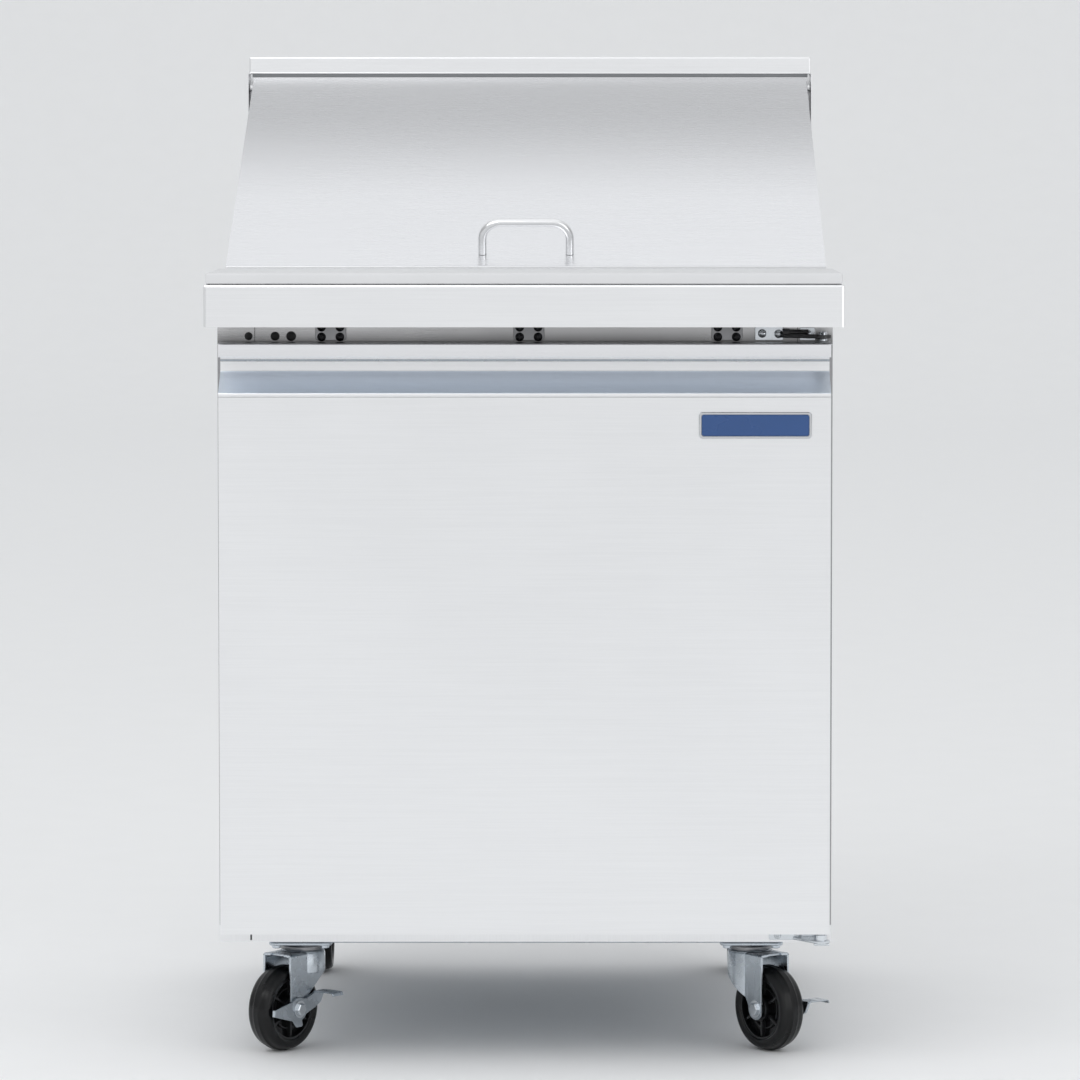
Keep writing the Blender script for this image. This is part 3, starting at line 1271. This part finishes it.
def build_fork(name, place):
    """Pressed fork: flat crown, a curved back, two tapering legs, and the axle bolt with its nut."""
    body = f"swivel_{name}"
    bm = bmesh.new()
    inner = 0.0186
    outer = 0.0214
    crown = 0.1163
    front = -0.0472
    rear = 0.0172
    corner = (-0.0175, 0.0626)
    slope = 0.826
    leg = [(rear, crown - 0.0020), (rear, corner[1] + (rear - corner[0]) * slope), corner]
    leg += arc((-TRAIL, AXLE), 0.0132, 10, -148, 14)
    leg += [(front, 0.0590), (front, crown - 0.0020)]
    for side in (-1, 1):
        low, high = sorted((side * inner, side * outer))
        prism(bm, leg, "YZ", low, high, 0.0004)
        bend = arc((0, 0), 0.0030, 0, 90, 5)
        outline = [(side * outer, crown - 0.0030)]
        outline += [(side * (outer - 0.0030 + a), crown - 0.0030 + b) for a, b in bend]
        outline += [(side * 0.010, crown), (side * 0.010, crown - 0.0026), (side * inner, crown - 0.0034)]
        prism(bm, outline, "XZ", front, rear, 0.0003)
    block(bm, (-0.0102, -0.0440, crown - 0.0026), (0.0102, rear, crown - 0.0002), 0.0003)
    build_barrel(bm, crown, corner, slope)
    lathe(bm, [(0.0, crown - 0.0022), (0.0262, crown - 0.0022), (0.0262, crown - 0.0002),
               (0.0246, crown + 0.0002), (0.0240, 0.1175), (0.0, 0.1175)], (0, 0, 0), (0, 0, 1), 56)
    stamped = ((-0.0395, 0.0800, 0.0905), (-0.0310, 0.0945, 0.0990), (-0.0280, 0.0950, 0.0995))
    for deep, low, high in stamped:
        block(bm, (outer - 0.0004, deep - 0.0009, low), (outer + 0.00035, deep + 0.0009, high), 0.0003)
    put(place, bm)
    fork = finish_piece(f"fork_{name}", bm, "zinc", body, 30)
    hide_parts(f"caster_fork_{name}")
    braked = name.startswith("front")
    bolt = bmesh.new()
    head = 0.0258 if braked else 0.0215
    sweep(bolt, [(-0.0255, -TRAIL, AXLE), (head + 0.001, -TRAIL, AXLE)], 0.0045, 24)
    hexagon_bolts(bolt, [(head, -TRAIL, AXLE)], (1, 0, 0), 0.0076, 0.0048)
    hexagon_bolts(bolt, [(-outer, -TRAIL, AXLE)], (-1, 0, 0), 0.0076, 0.0043)
    put(place, bolt)
    finish_piece(f"axle_{name}", bolt, "zinc_bright", body, 30)
    rivet = bmesh.new()
    lathe(rivet, [(0, crown - 0.0080), (0.0070, crown - 0.0078), (0.0092, crown - 0.0058),
                  (0.0095, crown - 0.0022), (0, crown - 0.0022)], (0, 0, 0), (0, 0, 1), 32)
    put(place, rivet)
    finish_piece(f"kingpin_{name}", rivet, "zinc_bright", body)


def build_wheel(name, place):
    """Rubber tyre with a raised centre ring, on a ribbed plastic hub with a bearing."""
    body = f"rolling_{name}"
    centre = Matrix.Translation((0, -TRAIL, AXLE))
    tyre = bmesh.new()
    half = 0.0160
    side = [(0.0368, 0.0135), (0.0380, 0.0152), (0.0400, 0.0159), (0.0425, half), (0.0450, 0.0156),
            (0.0470, 0.0140), (0.0482, 0.0118), (0.0489, 0.0088), (0.0494, 0.0054), (0.0500, 0.0044),
            (0.0510, 0.0034)]
    profile = side + [(radius, -across) for radius, across in reversed(side)]
    lathe(tyre, profile, (0, 0, 0), (1, 0, 0), 96, closed=True)
    put(place @ centre, tyre)
    tyre_piece = finish_piece(f"tyre_{name}", tyre, "rubber", body, 30)
    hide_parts(f"wheel_{name}")
    hub = bmesh.new()
    lathe(hub, [(0.0369, 0.0138), (0.0369, -0.0138), (0.0345, -0.0138), (0.0338, -0.0060), (0.0156, -0.0050),
                (0.0150, -0.0166), (0.0125, -0.0169), (0.0118, -0.0150), (0.0100, -0.0150),
                (0.0094, -0.0170), (0.0060, -0.0172), (0.0060, 0.0172), (0.0094, 0.0170), (0.0100, 0.0150),
                (0.0118, 0.0150), (0.0125, 0.0169), (0.0150, 0.0166), (0.0156, 0.0050), (0.0338, 0.0060),
                (0.0345, 0.0138)], (0, 0, 0), (1, 0, 0), 72, closed=True)
    for i in range(6):
        spin = Matrix.Rotation(2 * math.pi * i / 6, 4, "X")
        for side in (-1, 1):
            rib = bmesh.new()
            low, high = sorted((side * 0.0045, side * 0.0120))
            block(rib, (low, -0.0015, 0.0145), (high, 0.0015, 0.0350), 0.0004)
            put(spin, rib)
            merge(hub, rib)
    for side in (-1, 1):
        lathe(hub, [(0.0232, side * 0.0052), (0.0232, side * 0.0080), (0.0248, side * 0.0080),
                    (0.0248, side * 0.0052)], (0, 0, 0), (1, 0, 0), 64, closed=True)
    put(place @ centre, hub)
    finish_piece(f"hub_{name}", hub, "hub", body, 30)
    bearing = bmesh.new()
    lathe(bearing, [(0.0053, -0.0174), (0.0085, -0.0174), (0.0090, -0.0168), (0.0090, 0.0168),
                    (0.0085, 0.0174), (0.0053, 0.0174)], (0, 0, 0), (1, 0, 0), 40, closed=True)
    put(place @ centre, bearing)
    finish_piece(f"bearing_{name}", bearing, "zinc", body)


def build_brake(name, place):
    """Pressed brake lever with a folded, ribbed toe pedal; the right one is handed the other way."""
    body = f"brake_{name}"
    near = 0.0219
    far = 0.0256
    side = 1 if name == "front_left" else -1
    top = 0.0184 if side > 0 else 0.0104
    shape = [(-0.0460, -0.0036), (-0.0130, -0.0128), (-0.0070, -0.0198), (-0.0050, -0.0212),
             (0.0045, -0.0212), (0.0062, -0.0196)] + arc((0, 0), 0.0143, 290, 330, 5)
    shape += [(0.0300, top - 0.0194), (0.0402, top - 0.0139), (0.0455, top - 0.0044), (0.0470, top - 0.0002),
              (0.0300, top - 0.0002), (0.0240, (top + 0.0118) / 2), (0.0120, 0.0115)]
    shape += arc((0, 0), 0.0143, 66, 130, 8) + [(-0.0120, 0.0105), (-0.0455, 0.0040)]
    lever = bmesh.new()
    prism(lever, [(side * across, up) for across, up in shape], "YZ", near, far, 0.0005)
    pedal = [(near, top - 0.0030), (near + 0.0010, top - 0.0010), (near + 0.0030, top), (0.0505, top),
             (0.0530, top - 0.0012), (0.0539, top - 0.0045), (0.0526, top - 0.0045), (0.0518, top - 0.0022),
             (0.0504, top - 0.0014), (near + 0.0042, top - 0.0014), (near + 0.0030, top - 0.0022),
             (near + 0.0022, top - 0.0030)]
    start, end = sorted((side * 0.0282, side * 0.0478))
    prism(lever, pedal, "XZ", start, end, 0.0004)
    for share in (0.25, 0.5, 0.75):
        deep = start + share * (end - start)
        block(lever, (near + 0.006, deep - 0.0007, top - 0.0004), (0.0480, deep + 0.0007, top), 0.0002)
    put(place @ Matrix.Translation((0, -TRAIL, AXLE)), lever)
    brake = finish_piece(f"lever_{name}", lever, "zinc", body, 30)
    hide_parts(f"brake_lever_{name}")


# ---------------------------------------------------------------- stage

def build_stage():
    """Pale studio floor and backdrop in one curved sheet, wide enough for a camera on any side."""
    bm = bmesh.new()
    outline = [(-14.0, 0.0), (13.0, 0.0)]
    outline += arc((13.0, 5.0), 5.0, -90, 0, 16)[1:]
    outline += [(18.0, 18.0)]
    rows = [[bm.verts.new((across, deep, up)) for deep, up in outline] for across in (-20.0, 20.0)]
    for i in range(len(outline) - 1):
        bm.faces.new((rows[0][i], rows[1][i], rows[1][i + 1], rows[0][i + 1]))
    mesh = to_mesh("studio_floor", bm)
    mesh.shade_smooth()
    mesh.materials.append(MATERIALS["floor"])
    floor = link("studio_floor", mesh)


def light(name, place, target, size, power):
    """A soft area light aimed at a target."""
    data = bpy.data.lights.new(name, "AREA")
    data.shape = "RECTANGLE"
    data.size = size[0]
    data.size_y = size[1]
    data.energy = power
    lamp = link(name, data)
    lamp.location = place
    lamp.rotation_euler = (Vector(target) - Vector(place)).to_track_quat("-Z", "Y").to_euler()


def build_light():
    """Even white surroundings, darker low in front, with a soft key from above."""
    world = bpy.data.worlds.new("studio")
    bpy.context.scene.world = world
    world.use_nodes = True
    tree = world.node_tree
    back = tree.nodes["Background"]
    coords = tree.nodes.new("ShaderNodeTexCoord")
    split = tree.nodes.new("ShaderNodeSeparateXYZ")
    tree.links.new(coords.outputs["Generated"], split.inputs["Vector"])
    level = ramp(tree, split.outputs["Z"], -0.2, 0.6, 0.82, 1.04)
    flank = ramp(tree, math_of(tree, "ABSOLUTE", split.outputs["X"]), 0.35, 0.95, 1.0, 0.50)
    tree.links.new(math_of(tree, "MULTIPLY", level, flank), back.inputs["Strength"])
    back.inputs["Color"].default_value = (0.98, 0.99, 1.0, 1)
    light("key", (-1.8, -2.6, 3.2), (0, 0, 0.6), (3.2, 2.4), 34)
    light("fill", (2.4, -2.6, 1.4), (0, 0, 0.4), (1.8, 2.4), 13)


def build_camera():
    """Long lens in front, a little above the table, looking slightly down."""
    data = bpy.data.cameras.new("camera")
    data.sensor_width = 36
    data.lens = 176.5
    data.shift_x = -0.033
    data.shift_y = -0.08
    data.clip_end = 60
    camera = link("camera", data)
    camera.location = (0.059, -6.487, 1.084)
    camera.rotation_euler = (math.radians(90 - 3.4), 0, 0)
    bpy.context.scene.camera = camera
    bpy.context.scene.view_settings.view_transform = "Standard"


# ---------------------------------------------------------------- the table

paint_frame()
build_board()
build_rail_details()
build_brackets()
build_header_details()
build_hinges()
build_pull()
build_badge()
build_gasket()
build_door_inner()
build_lid_details()
build_hood_details()
build_pans()
build_pan_bars()
build_wire_shelf()
build_evaporator()
build_condensing_unit()
build_back()
build_base()
build_casters()
build_stage()
build_light()
build_camera()
